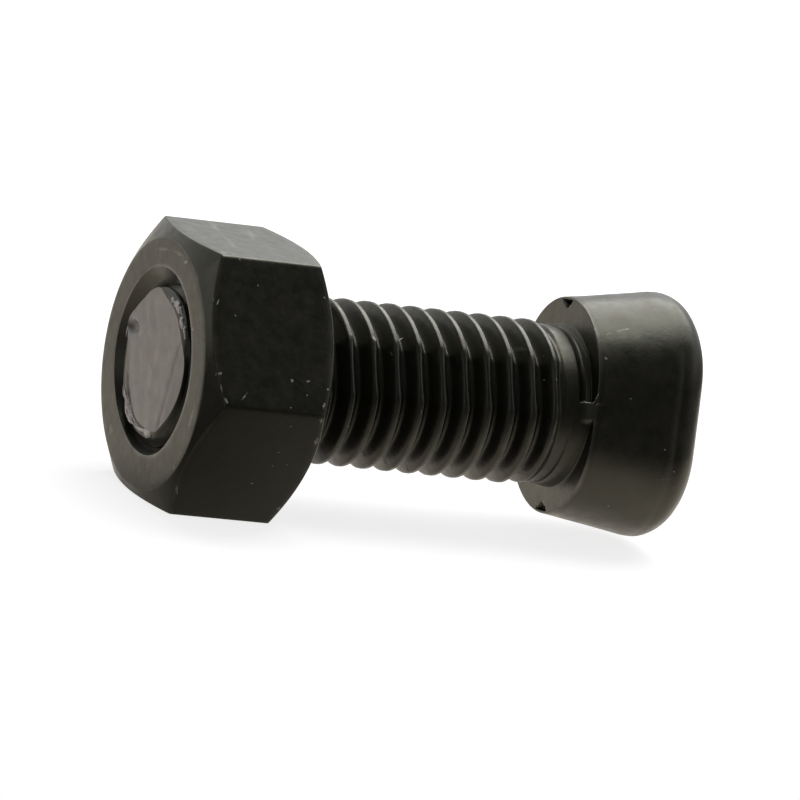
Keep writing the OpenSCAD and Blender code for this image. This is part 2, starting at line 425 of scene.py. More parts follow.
boltLook = {
    "dark": "#3b3d36",
    "pale": "#484942",
    "brown": "#4a453e",
    "blotch": 0.5,
    "worn": "#7d7b76",
    "bare": "#737170",
    "stain": "#221f16",
    "dust": "#b0aea6",
    "metallic": 0.92,
    "roughness": 0.35, "smoother": 0.05, "rougher": 0.08,
    "glossLow": 0.3, "glossHigh": 0.7,
    "cloud": 2.5,  # patches of the oxide, a few millimetres across
    "mottle": 0.8, "mottleDepth": 0.04, "mottleLow": 0.35, "mottleHigh": 0.65,
    "grain": 0.22, "grainDepth": 0.02,
    "relief": 0.35,
    "stainPit": -1.5,  # the stains lie a little deeper
    "rubStart": 0.2, "rubFull": 0.6,
    "rubShare": 0.45,
    "rubTone": 0.15,
    "nickTone": 0.7,
    "fleck": 0.08, "fleckEdge": 0.05, "fleckTone": 0.35,
    "fleckSpace": 0.9, "fleckDrift": 0.25,
    "fleckFree": 0.6,  # this share of the places stays without a fleck
    # Marks as (start, end, half width), or (middle, half width) for a spot
    "nicks": [
        ((0.45, -4.3, 4.2), (0.5, -4.3, 4.2), 0.14),
        ((5.6, -5.8, -1.85), (6.0, -5.8, -2.0), 0.07),
        ((4.95, -5.65, -0.7), 0.08),
        ((2.2, -5.15, 2.1), (2.25, -5.15, 2.1), 0.07),
        ((-14.4, -3.3, 3.7), (-14.3, -3.45, 3.55), 0.12),
        ((-12.85, -3.4, 3.55), (-12.2, -2.45, 3.3), 0.07),
        ((-13.2, -3.2, 3.1), (-13.1, -3.8, 2.8), 0.09),
        ((-13.0, -0.7, 4.9), (-13.0, -0.8, 4.85), 0.12),
        ((-16.1, -1.3, 4.75), (-16.1, -1.55, 4.65), 0.08),
        ((-8.65, -4.35, 0.6), (-8.4, -4.75, 0.65), 0.09),
        ((-15.5, -4.7, -1.55), (-15.5, -4.75, -1.45), 0.1),
        ((-11.15, -4.95, 0.05), (-11.15, -4.95, -0.25), 0.07),
        ((-8.1, -4.9, 0.45), (-8.1, -4.9, 0.1), 0.08),
        ((-6.7, -4.9, 0.4), (-6.7, -4.9, 0.3), 0.07),
        ((-12.7, -2.2, -4.1), (-12.6, -2.3, -4.25), 0.12),
        ((-2.8, -2.7, 3.55), (-2.75, -2.7, 3.6), 0.1),
        ((-2.5, -3.85, 2.8), (-2.3, -4.2, 2.4), 0.08),
        ((-2.95, -3.4, 2.2), (-2.8, -3.5, 2.3), 0.07),
    ],
    "rubs": [
        ((1.2, -3.1, 5.6), (2.45, -2.9, 5.9), 0.14),
        ((0.7, -3.25, 5.4), (1.2, -3.1, 5.6), 0.1),
        ((-4.5, -2.0, 3.65), (-4.1, -2.9, 3.85), 0.22),
    ],
    "stains": [
        # the first two darken the floors of the two V notches
        ((0.42, 0.62, 6.12), (0.42, 1.62, 5.95), 0.38),
        ((0.42, -0.62, -6.12), (0.42, -1.62, -5.95), 0.38),
        ((-26.45, -1.3, 3.72), (-26.45, -2.2, 3.25), 0.08),
        ((-26.42, -2.45, 3.2), (-26.42, -2.65, 3.1), 0.12),
        ((-13.05, -2.2, -3.4), (-12.8, -2.6, -3.55), 0.28),
        ((-11.3, -2.0, -4.0), (-11.15, -2.3, -4.05), 0.24),
        ((-9.75, -1.9, -4.15), (-9.55, -1.95, -4.5), 0.25),
        ((-2.4, -1.95, -3.85), (-2.2, -2.85, -3.65), 0.2),
        ((-4.4, -2.3, 3.5), (-4.1, -2.7, 3.6), 0.15),
        ((-1.55, -0.1, 4.78), (-1.1, -1.5, 4.53), 0.07),
    ],
}
nutLook = dict(
    boltLook, dark="#3b3c36", pale="#484841", brown="#46433b", roughness=0.33, grain=0.3,
    nicks=[
        ((-25.4, -3.85, 7.87), (-25.2, -4.0, 7.87), 0.16),
        ((-24.8, -3.95, 7.88), (-24.6, -4.25, 7.87), 0.1),
        ((-26.2, -5.7, 5.5), (-26.05, -6.0, 5.35), 0.08),
        ((-25.85, -5.85, 5.6), (-26.05, -6.1, 5.15), 0.08),
        ((-24.5, -4.6, 7.75), 0.1),
        ((-23.35, -5.35, 6.5), 0.08),
        ((-24.85, -6.35, 4.8), 0.09),
        ((-26.05, -8.05, 1.6), (-25.8, -8.1, 1.7), 0.14),
        ((-25.9, -8.4, 1.2), (-25.75, -8.7, 0.7), 0.07),
        ((-25.6, -8.85, 0.4), (-25.45, -8.95, 0.2), 0.12),
        ((-24.55, -8.85, 0.45), (-24.2, -8.65, 0.8), 0.08),
        ((-21.3, -8.1, 1.7), 0.15),
        ((-20.35, -8.1, 1.75), (-20.15, -8.05, 1.8), 0.09),
        ((-20.35, -8.5, 1.05), 0.07),
        ((-19.0, -8.25, 1.45), 0.1),
        ((-19.25, -8.7, 0.7), (-19.3, -8.8, 0.5), 0.13),
        ((-21.4, -8.9, 0.3), 0.07),
        ((-19.1, -5.5, 6.25), 0.1),
        ((-21.0, -8.6, -0.9), 0.1),
        ((-20.9, -7.5, -2.8), 0.07),
        ((-21.55, -6.15, -5.15), 0.12),
        ((-19.35, -8.95, -0.2), (-19.3, -8.9, -0.4), 0.14),
        ((-19.0, -8.2, -1.5), (-18.9, -7.95, -2.0), 0.17),
        ((-19.1, -5.2, -6.8), (-19.1, -5.3, -6.6), 0.12),
        ((-26.5, -1.5, 6.5), (-26.5, -1.9, 6.65), 0.14),
        ((-26.5, -4.55, 3.4), (-26.5, -4.6, 3.2), 0.1),
        ((-26.1, -5.75, -5.75), (-25.75, -5.4, -6.4), 0.08),
        ((-26.45, -5.85, -4.65), (-26.45, -5.8, -4.8), 0.12),
        ((-26.5, 4.5, 3.7), 0.1),
    ],
    rubs=[
        ((-22.8, 4.5, 7.88), (-23.3, 1.2, 7.88), 0.3),
        ((-23.3, 1.2, 7.88), (-23.9, -3.0, 7.88), 0.25),
        ((-20.6, 3.5, 7.88), (-21.6, 0.2, 7.88), 0.3),
        ((-26.5, 3.0, 6.15), (-26.5, 0.45, 6.75), 0.14),
        ((-26.5, 0.45, 6.75), (-26.5, -1.4, 6.8), 0.14),
        ((-26.5, 4.1, -5.2), (-26.5, 4.0, -5.4), 0.35),
        ((-26.5, -6.9, -0.5), (-26.5, -6.6, -2.6), 0.2),
    ],
    stains=[
        ((-26.5, -1.7, -5.5), (-26.5, -2.1, -6.2), 0.12),
        ((-24.0, -8.9, 0.15), (-19.6, -8.95, 0.1), 0.07),
    ],
)
boltFinish = blackOxide("blackOxideRolledThread", boltLook)
nutFinish = blackOxide("blackOxideNut", nutLook)
tornLook = {
    "dark": "#454344",
    "pale": "#a5a3a5",
    "roughness": 0.28,
    "strand": 0.16, "strandDepth": 0.05,
    "relief": 0.7,
}
tornFinish = tornSteel("tornSteel", tornLook)
print("stage: materials")


# Thread

threadSizes = {
    "Crest X": -28.75,  # a crest crosses the angle Turn here
    "Turn": 252.0,
    "Pitch": 1.5,
    "Crest Radius": 4.975,
    "Root Radius": 4.0555,
    "Crest Flat": 0.22,
    "Root Flat": 0.34,
    "Start": -26.2,
    "End": -1.7,
    "Start Radius": 4.55,
    "Start Slope": 0.8,
    "End Radius": 6.0,
    "End Slope": 1.0,
    "Run-out": 0.8,
    "Neck Radius": 4.78,
    "Side": 1.0,  # 1 for a thread outside a rod, -1 inside a bore
    "Wear Depth": 0.05,
    "Seam Angle": 26.0,  # a seam runs along the thread here, where the rolling did not quite fill the crest
    "Seam Span": 20.0,
    "Seam Shift": 0.14,
    "Seam Depth": 0.15,
    "Rows": 21,
}
nutThreadSizes = dict(threadSizes, **{
    "Turn": 72.0,
    "Crest Radius": 4.25,
    "Root Radius": 5.03,
    "Crest Flat": 0.44,
    "Root Flat": 0.26,
    "Start": -25.9,
    "End": -18.9,
    "Start Radius": 5.1,
    "Start Slope": -1.0,
    "End Radius": 5.1,
    "End Slope": -1.0,
    "Run-out": 0.01,
    "Neck Radius": 5.1,
    "Side": -1.0,
    "Wear Depth": 0.0,
    "Seam Shift": 0.0,
    "Seam Depth": 0.0,
    "Rows": 13,
})
plainInputs = ("Turn", "Start Slope", "End Slope", "Side", "Seam Angle", "Seam Span", "Rows")
gridSizes = {
    "columns": float(columns),
    "spareTurns": 0.6,
    "sparePoints": 1.2,  # one point more than steps, as it is rounded down
    "crestRows": 0.2, "flankRows": 0.8,  # the shares of the rows at which the crest and the flank end
    "crowding": 1.4,  # rows stand close together where the crest rounds over
    "seamEdge": -0.08,
    "profileStart": -0.3, "profileSpan": 1.7,  # on the flank, 0 is the crest's edge and 1 the root's
    "markSize": 0.7,
    "rubShare": 0.6, "rubReach": 0.22,
    "weld": 0.001,
}
# The rolled profile, as places on the flank with their depth: two fine lips on the crest, flanks that
# round over towards it, and a round root
rolledProfile = (
    (-0.3, 0.004), (-0.23, 0.004), (-0.12, 0.0), (0.0, 0.008), (0.1, 0.034), (0.2, 0.085),
    (0.35, 0.193), (0.5, 0.334), (0.7, 0.569), (0.9, 0.849), (1.08, 0.975), (1.4, 1.0),
)
# Each step is a node: its name, and then a Math operation with its parts, or a kind of node with its
# inputs. A word among the parts is an input of the group, one of gridSizes or an earlier step.
threadSteps = (
    ("length", "SUBTRACT", "End", "Crest X"),
    ("pitches", "DIVIDE", "length", "Pitch"),
    ("pitchesMore", "ADD", "pitches", "spareTurns"),
    ("turns", "CEIL", "pitchesMore"),
    ("halfTurns", "MULTIPLY", "turns", 0.5),
    ("steps", "MULTIPLY", "turns", "columns"),
    ("points", "ADD", "steps", "sparePoints"),
    ("turn", "ADD", "along", "halfTurns"),
    ("sweep", "MULTIPLY", "turn", -2 * math.pi),
    ("turnStart", "RADIANS", "Turn"),
    ("angle", "ADD", "sweep", "turnStart"),
    ("climb", "MULTIPLY", "turn", "Pitch"),
    ("crestX", "ADD", "climb", "Crest X"),
    # How far a row lies from its crest
    ("row", "ABSOLUTE", "across"),
    ("rowSign", "SIGN", "across"),
    ("halfPitch", "MULTIPLY", "Pitch", 0.5),
    ("halfCrest", "MULTIPLY", "Crest Flat", 0.5),
    ("halfRoot", "MULTIPLY", "Root Flat", 0.5),
    ("rootStart", "SUBTRACT", "halfPitch", "halfRoot"),
    ("flank", "SUBTRACT", "rootStart", "halfCrest"),
    ("crestShare", "ShaderNodeMapRange", {"Value": "row", "From Max": "crestRows"}),
    ("flankShare", "ShaderNodeMapRange", {"Value": "row", "From Min": "crestRows", "From Max": "flankRows"}),
    ("rootShare", "ShaderNodeMapRange", {"Value": "row", "From Min": "flankRows"}),
    ("flankBend", "POWER", "flankShare", "crowding"),
    ("crestPart", "MULTIPLY", "crestShare", "halfCrest"),
    ("flankPart", "MULTIPLY", "flankBend", "flank"),
    ("rootPart", "MULTIPLY", "rootShare", "halfRoot"),
    ("partSum", "ADD", "crestPart", "flankPart"),
    ("distance", "ADD", "partSum", "rootPart"),
    ("offset", "MULTIPLY", "distance", "rowSign"),
    # Points past the thread's two ends are drawn back to them
    ("freeX", "ADD", "crestX", "offset"),
    ("lowX", "MAXIMUM", "freeX", "Start"),
    ("x", "MINIMUM", "lowX", "End"),
    ("shift", "SUBTRACT", "x", "freeX"),
    ("shifted", "ADD", "offset", "shift"),
    ("minusHalf", "MULTIPLY", "halfPitch", -1.0),
    ("phase", "WRAP", "shifted", "halfPitch", "minusHalf"),
    ("fromMiddle", "ABSOLUTE", "phase"),
    # The seam pushes one side of the crest down
    ("seamAngle", "RADIANS", "Seam Angle"),
    ("seamSpan", "RADIANS", "Seam Span"),
    ("fromSeam", "SUBTRACT", "angle", "seamAngle"),
    ("seamCosine", "COSINE", "fromSeam"),
    ("seamEnd", "COSINE", "seamSpan"),
    ("seamInside", "SUBTRACT", "seamCosine", "seamEnd"),
    ("seamWhole", "SUBTRACT", 1.0, "seamEnd"),
    ("seamRatio", "DIVIDE", "seamInside", "seamWhole"),
    ("seamShare", "MAXIMUM", "seamRatio", 0.0),
    ("seamPush", "MULTIPLY", "seamShare", "Seam Shift"),
    ("farSide", "ShaderNodeMapRange", {
        "Value": "phase", "From Min": gridSizes["seamEdge"] * mm, "From Max": 0.0,
    }),
    ("fromCrest", "MULTIPLY_ADD", "seamPush", "farSide", "fromMiddle"),
    ("fromFlank", "SUBTRACT", "fromCrest", "halfCrest"),
    ("flankPlace", "DIVIDE", "fromFlank", "flank"),
    # The radius: the profile, its run-out into the neck, and the cones at both ends
    ("profilePlace", "MULTIPLY_ADD", "flankPlace",
     1 / gridSizes["profileSpan"], -gridSizes["profileStart"] / gridSizes["profileSpan"]),
    ("depthShare", "ShaderNodeFloatCurve", {"Value": "profilePlace"}),
    ("runoutStart", "SUBTRACT", "End", "Run-out"),
    ("runoutShare", "ShaderNodeMapRange", {"Value": "x", "From Min": "runoutStart", "From Max": "End"}),
    ("rise", "SUBTRACT", "Root Radius", "Crest Radius"),
    ("seamDrop", "MULTIPLY", "seamShare", "Seam Depth"),
    ("seamRadius", "SUBTRACT", "Crest Radius", "seamDrop"),
    ("profileRadius", "MULTIPLY_ADD", "depthShare", "rise", "seamRadius"),
    ("toNeck", "SUBTRACT", "Neck Radius", "profileRadius"),
    ("fadedRadius", "MULTIPLY_ADD", "toNeck", "runoutShare", "profileRadius"),
    ("fromStart", "SUBTRACT", "x", "Start"),
    ("startCone", "MULTIPLY_ADD", "fromStart", "Start Slope", "Start Radius"),
    ("fromEnd", "SUBTRACT", "End", "x"),
    ("endCone", "MULTIPLY_ADD", "fromEnd", "End Slope", "End Radius"),
    ("radiusSide", "MULTIPLY", "fadedRadius", "Side"),
    ("startSide", "MULTIPLY", "startCone", "Side"),
    ("endSide", "MULTIPLY", "endCone", "Side"),
    ("firstCut", "MINIMUM", "radiusSide", "startSide"),
    ("bothCuts", "MINIMUM", "firstCut", "endSide"),
    ("cutRadius", "MULTIPLY", "bothCuts", "Side"),
    # Handling marks: the crest is not quite even
    ("cosine", "COSINE", "angle"),
    ("sine", "SINE", "angle"),
    ("spreadY", "MULTIPLY", "cosine", "Crest Radius"),
    ("spreadZ", "MULTIPLY", "sine", "Crest Radius"),
    ("spread", "ShaderNodeCombineXYZ", {"X": "x", "Y": "spreadY", "Z": "spreadZ"}),
    ("marks", "ShaderNodeTexNoise", {
        "Vector": "spread", "Scale": 1 / (gridSizes["markSize"] * mm), "Detail": 2.0, "Roughness": 0.7,
    }),
    ("markCentre", "SUBTRACT", "marks", 0.5),
    ("radius", "MULTIPLY_ADD", "markCentre", "Wear Depth", "cutRadius"),
    ("minusCosine", "MULTIPLY", "cosine", -1.0),
    ("y", "MULTIPLY", "radius", "minusCosine"),
    ("z", "MULTIPLY", "radius", "sine"),
    ("spot", "ShaderNodeCombineXYZ", {"X": "x", "Y": "y", "Z": "z"}),
    ("rub", "ShaderNodeMapRange", {
        "Value": "flankPlace", "From Max": "rubReach", "To Min": "rubShare", "To Max": 0.0,
    }),
)


def makeThreadTree():
    tree = bpy.data.node_groups.new("helicalThread", "GeometryNodeTree")
    tree.interface.new_socket("Geometry", in_out="OUTPUT", socket_type="NodeSocketGeometry")
    for name, value in threadSizes.items():
        kind = "NodeSocketInt" if name == "Rows" else "NodeSocketFloat"
        socket = tree.interface.new_socket(name, in_out="INPUT", socket_type=kind)
        socket.default_value = value if name in plainInputs else value * mm
    tree.interface.new_socket("Material", in_out="INPUT", socket_type="NodeSocketMaterial")
    known = dict(gridSizes, **{socket.name: socket for socket in addNode(tree, "NodeGroupInput").outputs})
    # Along the grid one unit is a turn of the thread, and across it lie the rows from groove to groove
    position = addNode(tree, "GeometryNodeInputPosition")
    place = addNode(tree, "ShaderNodeSeparateXYZ", {0: position})
    known["across"], known["along"] = place.outputs["Y"], place.outputs["X"]
    for name, step, *parts in threadSteps:
        kind, settings = (step, {}) if "Node" in step else ("ShaderNodeMath", {"operation": step})
        inputs = dict(enumerate(parts)) if settings else parts[0]
        values = {key: known.get(part, part) for key, part in inputs.items()}
        known[name] = addNode(tree, kind, values, **settings)
    known["runoutShare"].interpolation_type = "SMOOTHSTEP"
    profile = known["depthShare"].mapping
    curve = profile.curves[0]
    while len(curve.points) < len(rolledProfile):
        curve.points.new(0.5, 0.5)
    for point, (flankPlace, depth) in zip(curve.points, rolledProfile):
        point.location = ((flankPlace - gridSizes["profileStart"]) / gridSizes["profileSpan"], depth)
        point.handle_type = "VECTOR"
    profile.update()
    geometry = addNode(tree, "GeometryNodeMeshGrid", {
        "Size X": known["turns"], "Size Y": 2.0, "Vertices X": known["points"], "Vertices Y": known["Rows"],
    })
    finishing = (
        ("StoreNamedAttribute", {"Name": "wear", "Value": known["rub"]}),
        ("SetPosition", {"Position": known["spot"]}),
        ("MergeByDistance", {"Distance": gridSizes["weld"] * mm}),
        ("SetShadeSmooth", {}),
        ("RealizeInstances", {}),
        ("SetMaterial", {"Material": known["Material"]}),
    )
    for kind, inputs in finishing:
        geometry = addNode(tree, "GeometryNode" + kind, {"Geometry": geometry, **inputs})
    addNode(tree, "NodeGroupOutput", {"Geometry": geometry})
    return tree


threadTree = makeThreadTree()


def rollThread(name, sizes, material):
    carrier = addObject(name, bpy.data.meshes.new(name))
    modifier = carrier.modifiers.new("thread", "NODES")
    modifier.node_group = threadTree
    for item in threadTree.interface.items_tree:
        if item.in_out == "INPUT" and item.name in sizes:
            value = sizes[item.name]
            modifier[item.identifier] = value if item.name in plainInputs else value * mm
        elif item.in_out == "INPUT":
            modifier[item.identifier] = material
    shown = carrier.evaluated_get(bpy.context.evaluated_depsgraph_get())
    mesh = bpy.data.meshes.new_from_object(shown)
    bpy.data.objects.remove(carrier)
    return mesh


def openThread(mesh):
    # Returns the thread as a bmesh, with its two open rings in order of angle
    body = bmesh.new()
    body.from_mesh(mesh)
    body.verts.layers.float.new("bare")
    loose = [e for e in body.edges if not e.link_faces]
    bmesh.ops.delete(body, geom=loose, context="EDGES")
    rim = {v for e in body.edges if e.is_boundary for v in e.verts}
    middle = sum(v.co.x for v in rim) / len(rim)
    rings = []
    for side in (-1, 1):
        ring = [v for v in rim if (v.co.x - middle) * side > 0]
        ring.sort(key=lambda v: round(math.degrees(math.atan2(v.co.z, -v.co.y)) % 360, 2) % 360)
        rings.append(ring)
    return body, rings


def addRing(body, points, wear=0.0, bare=0.0):
    wearLayer = body.verts.layers.float["wear"]
    bareLayer = body.verts.layers.float["bare"]
    ring = [body.verts.new(p) for p in points]
    for k, v in enumerate(ring):
        v[wearLayer] = wear[k] if isinstance(wear, list) else wear
        v[bareLayer] = bare[k] if isinstance(bare, list) else bare
    return ring


def joinRings(body, first, second):
    # The second ring may have a whole number of times the first one's points
    times = len(second) // len(first)
    for k in range(len(first)):
        n = (k + 1) % len(first)
        span = [second[(k * times + j) % len(second)] for j in range(times, -1, -1)]
        body.faces.new([first[k], first[n]] + span)


def growRing(body, last, points, wear=0.0, bare=0.0):
    ring = addRing(body, points, wear, bare)
    joinRings(body, last, ring)
    return ring


def closeRing(body, ring, point, bare=0.0):
    pole = addRing(body, [point], bare=bare)[0]
    for k in range(len(ring)):
        body.faces.new((ring[k], ring[(k + 1) % len(ring)], pole))


def finishPiece(body, name, material, node):
    bmesh.ops.recalc_face_normals(body, faces=body.faces)
    openEdges = [e for e in body.edges if not e.is_manifold]
    print(name, len(body.faces), "faces,", len(openEdges), "open edges")
    for face in body.faces:
        face.smooth = True
    mesh = bpy.data.meshes.new(name)
    body.to_mesh(mesh)
    body.free()
    mesh.materials.append(material)
    piece = addObject(name, mesh)
    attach(piece, node)
    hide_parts(node)


# Bolt

endSizes = {
    "x": -26.5,
    "lipX": -26.32,
    # radius of the sheared face, and of the lip round it, every 15 degrees from the front going up
    "faceRadius": (4.5, 4.45, 4.05, 3.85, 3.9, 3.9, 4.0, 4.42, 4.42, 4.35, 4.55, 4.85,
                   3.95, 3.6, 3.5, 3.5, 3.6, 3.75, 3.82, 3.95, 4.2, 4.15, 4.25, 4.4),
    "lipRadius": (4.55, 4.5, 4.45, 4.6, 4.65, 4.5, 4.5, 4.5, 4.5, 4.5, 4.65, 4.9,
                  4.65, 4.6, 4.65, 4.6, 4.55, 4.5, 4.45, 4.45, 4.45, 4.4, 4.45, 4.5),
    # rows of points, as shares of the way to the lip, over the lip, and of the sheared face's radius
    "taperRows": (0.35, 0.7, 1.0),
    "lipRows": (0.06, 0.15, 0.26, 0.38, 0.5, 0.62, 0.74, 0.85, 0.94),
    "faceRows": (0.985, 0.96, 0.93, 0.9, 0.87, 0.83, 0.79, 0.75, 0.71,
                 0.67, 0.62, 0.56, 0.48, 0.39, 0.29, 0.19, 0.09),
    "lipGap": 0.04, "lipCurve": 1.6, "lipLow": 0.015, "edgeRound": 0.02,
    # ripples of torn metal on the lip and a groove inside it, between these angles
    "tornSpan": (205, 216, 255, 268), "tornHeight": 0.05, "tornBare": 0.7,
    "rippleRadius": 0.4, "rippleTurn": 30,
    "grooveSpan": (200, 215, 280, 295), "grooveDepth": 0.12, "groovePlace": 0.85, "grooveWidth": 0.1,
    "facetAngle": -8.5, "facetStart": 2.95, "facetSlope": 0.12,
    "creaseDepth": 0.03, "creaseWidth": 0.14,
    # a streak of painted shade runs beside the facet's crease
    "streakPlace": 0.28, "streakWidth": 0.2, "streakTone": 0.25, "streakLow": 1.2, "streakHigh": 2.4,
    "dentY": 3.75, "dentZ": 1.15, "dentLong": 1.0, "dentHigh": 0.55, "dentDepth": 0.2,
    "dentFlat": 0.4, "dentTone": 0.7,
    "faceUneven": 0.02,
}
# Torn metal on the bolt: its middle line through points of (x, radius, angle), its half width and its
# half thickness
shreds = (
    (((-26.33, 4.3, 214), (-26.36, 4.3, 231), (-26.36, 4.25, 250)), 0.3, 0.07),
    (((-26.38, 4.4, 215), (-26.4, 4.22, 224), (-26.42, 3.95, 235)), 0.15, 0.07),
    (((-26.37, 4.45, 224), (-26.39, 4.5, 240), (-26.4, 4.25, 255)), 0.17, 0.08),
    (((-26.41, 4.1, 236), (-26.42, 4.0, 247), (-26.42, 4.05, 258)), 0.12, 0.06),
    (((-26.36, 4.45, 210), (-26.38, 4.5, 219), (-26.39, 4.35, 228)), 0.1, 0.06),
    (((-26.38, 4.35, 252), (-26.41, 4.14, 266), (-26.43, 4.02, 281), (-26.43, 3.95, 296)), 0.13, 0.06),
    (((-26.35, 4.1, 270), (-26.38, 4.14, 284), (-26.38, 4.05, 298)), 0.3, 0.11),
    (((-26.36, 4.02, 88), (-26.38, 4.08, 76), (-26.39, 4.14, 62)), 0.27, 0.11),
    (((-26.34, 4.3, 74), (-26.38, 4.26, 66), (-26.37, 4.2, 57)), 0.28, 0.12),
    (((-26.34, 4.4, 66), (-26.36, 4.42, 60), (-26.34, 4.34, 54)), 0.12, 0.12),
    (((-26.36, 4.08, 58), (-26.38, 4.15, 49), (-26.37, 4.16, 39)), 0.27, 0.11),
    (((-26.33, 4.35, 50), (-26.35, 4.32, 42), (-26.35, 4.24, 32)), 0.2, 0.13),
    (((-26.43, 4.66, 177), (-26.4, 4.78, 172), (-26.4, 4.84, 166)), 0.08, 0.05),
    (((-0.62, 4.8, 17.4), (-0.36, 4.9, 17), (-0.12, 5.1, 17)), 0.06, 0.06),
    (((-0.16, 5.08, 17), (-0.03, 5.22, 17.8), (0.0, 5.36, 19.6)), 0.07, 0.06),
    (((-0.02, 5.33, 19.4), (0.0, 5.46, 21), (0.04, 5.6, 23)), 0.06, 0.05),
    (((-12.9, 4.93, 45), (-12.4, 4.6, 52), (-11.95, 4.45, 56)), 0.035, 0.03),
)
shredSizes = {"rows": 14, "sides": 10, "taper": 0.6, "uneven": 0.5, "grain": 4}
headSizes = {
    "halfWidth": 5.45,
    "halfLength": 6.55,
    "sideRadius": 5.45,
    "flare": 8.9,
    "height": 8.1,
    "rimRadius": 1.8,
    "crownRadius": 16.0,
    "turn": 10.5,
    "notchDepth": 0.42, "notchWidth": 0.65, "notchLow": 5.85, "notchHigh": 6.35,
    "ribStart": -0.9, "ribEnd": 0.5, "ribRadius": 4.785, "ribLow": -0.5, "ribHigh": 0.57,
    "notchRough": 0.5, "notchGrain": 4,
    "ribLowEdge": 0.2, "ribHighEdge": 0.04,
    "dip": 0.03, "dipSpan": 1.9,  # shallow unevenness of the forged sides
    # rows of points: over the bearing face from its inner radius outwards, then up the sides from the
    # rounded edge as (x, how far it is set in), and the number of rows on the sides, rim and crown
    "seatRadius": 4.9, "seatEdge": 0.05,
    "seatRows": (0.1, 0.25, 0.4, 0.52, 0.57, 0.62, 0.67, 0.73, 0.79, 0.85, 0.9, 0.93, 0.96, 0.98, 1.0),
    "edgeRows": ((0.015, 0.015), (0.05, 0.0)),
    "sideRows": 14, "rimRows": 12, "crownRows": 10,
    "rimEase": 0.1,
}
# The neck between the thread and the head: x, its radius above the web, and its radius below the web
neckShape = (
    (-1.6, 4.78, 4.78), (-1.45, 4.78, 4.78), (-1.3, 4.78, 4.785), (-1.2, 4.78, 4.785), (-1.12, 4.78, 4.78),
    (-1.05, 4.78, 4.765), (-0.98, 4.78, 4.765), (-0.9, 4.78, 4.79), (-0.83, 4.775, 4.81),
    (-0.78, 4.75, 4.82), (-0.73, 4.69, 4.83), (-0.66, 4.62, 4.845), (-0.55, 4.57, 4.86), (-0.42, 4.56, 4.88),
    (-0.32, 4.575, 4.895), (-0.25, 4.62, 4.91), (-0.2, 4.69, 4.92), (-0.16, 4.77, 4.93), (-0.12, 4.8, 4.94),
    (-0.08, 4.77, 4.945), (-0.05, 4.71, 4.95), (-0.02, 4.7, 4.97),
)
neckShare = (-4, 4, 150, 180)  # the side above the web lies between these angles of the head's own frame


def bend(before, a, b, after, t):
    # Smooth curve from a to b, for numbers and for vectors
    return 0.5 * (2 * a + (b - before) * t + (2 * before - 5 * a + 4 * b - after) * t * t
                  + (3 * a - before - 3 * b + after) * t ** 3)


def around(knots, angle):
    place = (angle % 360) * len(knots) / 360
    i = int(place)
    before, a, b, after = (knots[(i + j) % len(knots)] for j in (-1, 0, 1, 2))
    return bend(before, a, b, after, place - i)


def ovalReach(angle, x):
    # Distance from the axis to the head's side at x, along a ray at this angle of the head's own frame
    size = headSizes
    across, along = abs(cosine(angle)), abs(sine(angle))
    tilt = cosine(size["flare"])
    centre = size["halfLength"] - size["sideRadius"] / tilt + math.tan(math.radians(size["flare"])) * x
    flat = size["halfWidth"] / max(across, 0.001)
    if flat * along <= centre:
        return flat
    p = across ** 2 + (along * tilt) ** 2
    q = -2 * along * centre * tilt ** 2
    s = (centre * tilt) ** 2 - size["sideRadius"] ** 2
    return (-q + math.sqrt(max(0.0, q * q - 4 * p * s))) / (2 * p)


def crownReach(angle, distance, rimZ):
    # Distance along the ray at which a point is this far from the crown's middle line
    across, along = abs(cosine(angle)), abs(sine(angle))
    flat = distance / max(across, 0.001)
    if flat * along <= rimZ:
        return flat
    half = along * rimZ
    return half + math.sqrt(max(0.0, half * half - rimZ ** 2 + distance ** 2))


def headRings():
    # Rings from the bearing face over the sides and the rim to the crown. Each point is x, radius and
    # angle in the head's own frame.
    size = headSizes
    flare, rim, crown = math.radians(size["flare"]), size["rimRadius"], size["crownRadius"]
    fillet = size["halfWidth"] - rim
    crownX = size["height"] - crown
    rimX = crownX + math.sqrt((crown - rim) ** 2 - fillet ** 2)
    rimZ = size["halfLength"] + math.tan(flare) * rimX - rim / math.cos(flare) - fillet
    owns = [angle - size["turn"] for angle in fineAngles]
    rings = []
    for share in size["seatRows"]:
        ends = [(ovalReach(own, 0) - size["seatEdge"], own) for own in owns]
        rings.append([(0.0, mix(size["seatRadius"], end, share), own) for end, own in ends])
    sideStart = size["edgeRows"][-1][0]
    sideEnd = rimX - rim * math.sin(flare) - size["seatEdge"]
    rows = range(1, size["sideRows"] + 1)
    sides = [(mix(sideStart, sideEnd, i / size["sideRows"]), 0.0) for i in rows]
    for x, inset in [*size["edgeRows"], *sides]:
        rings.append([(x, ovalReach(own, x) - inset, own) for own in owns])
    top = 90 - math.degrees(math.asin(fillet / (crown - rim)))
    for i in range(size["rimRows"] + 1):
        lean = math.radians(mix(-size["flare"], top, i / size["rimRows"]))
        x = rimX + rim * math.sin(lean)
        distance = fillet + rim * math.cos(max(lean, 0))
        ring = []
        for own in owns:
            side = ovalReach(own, x)
            reach = crownReach(own, distance, rimZ)
            # the flared side eases into the rim
            ease = max(0.0, size["rimEase"] - abs(side - reach)) ** 2 / (4 * size["rimEase"])
            ring.append((x, min(side, reach) - ease, own))
        rings.append(ring)
    for i in range(1, size["crownRows"]):
        share = i / size["crownRows"]
        ring = []
        for own in owns:
            # the middle line shrinks to the pole with the rings
            reach = crownReach(own, distance * (1 - share), rimZ * (1 - share ** 2))
            y, z = reach * cosine(own), reach * sine(own)
            away = math.hypot(y, max(0.0, abs(z) - rimZ))
            ring.append((crownX + math.sqrt(crown ** 2 - away ** 2), reach, own))
        rings.append(ring)
    return rings


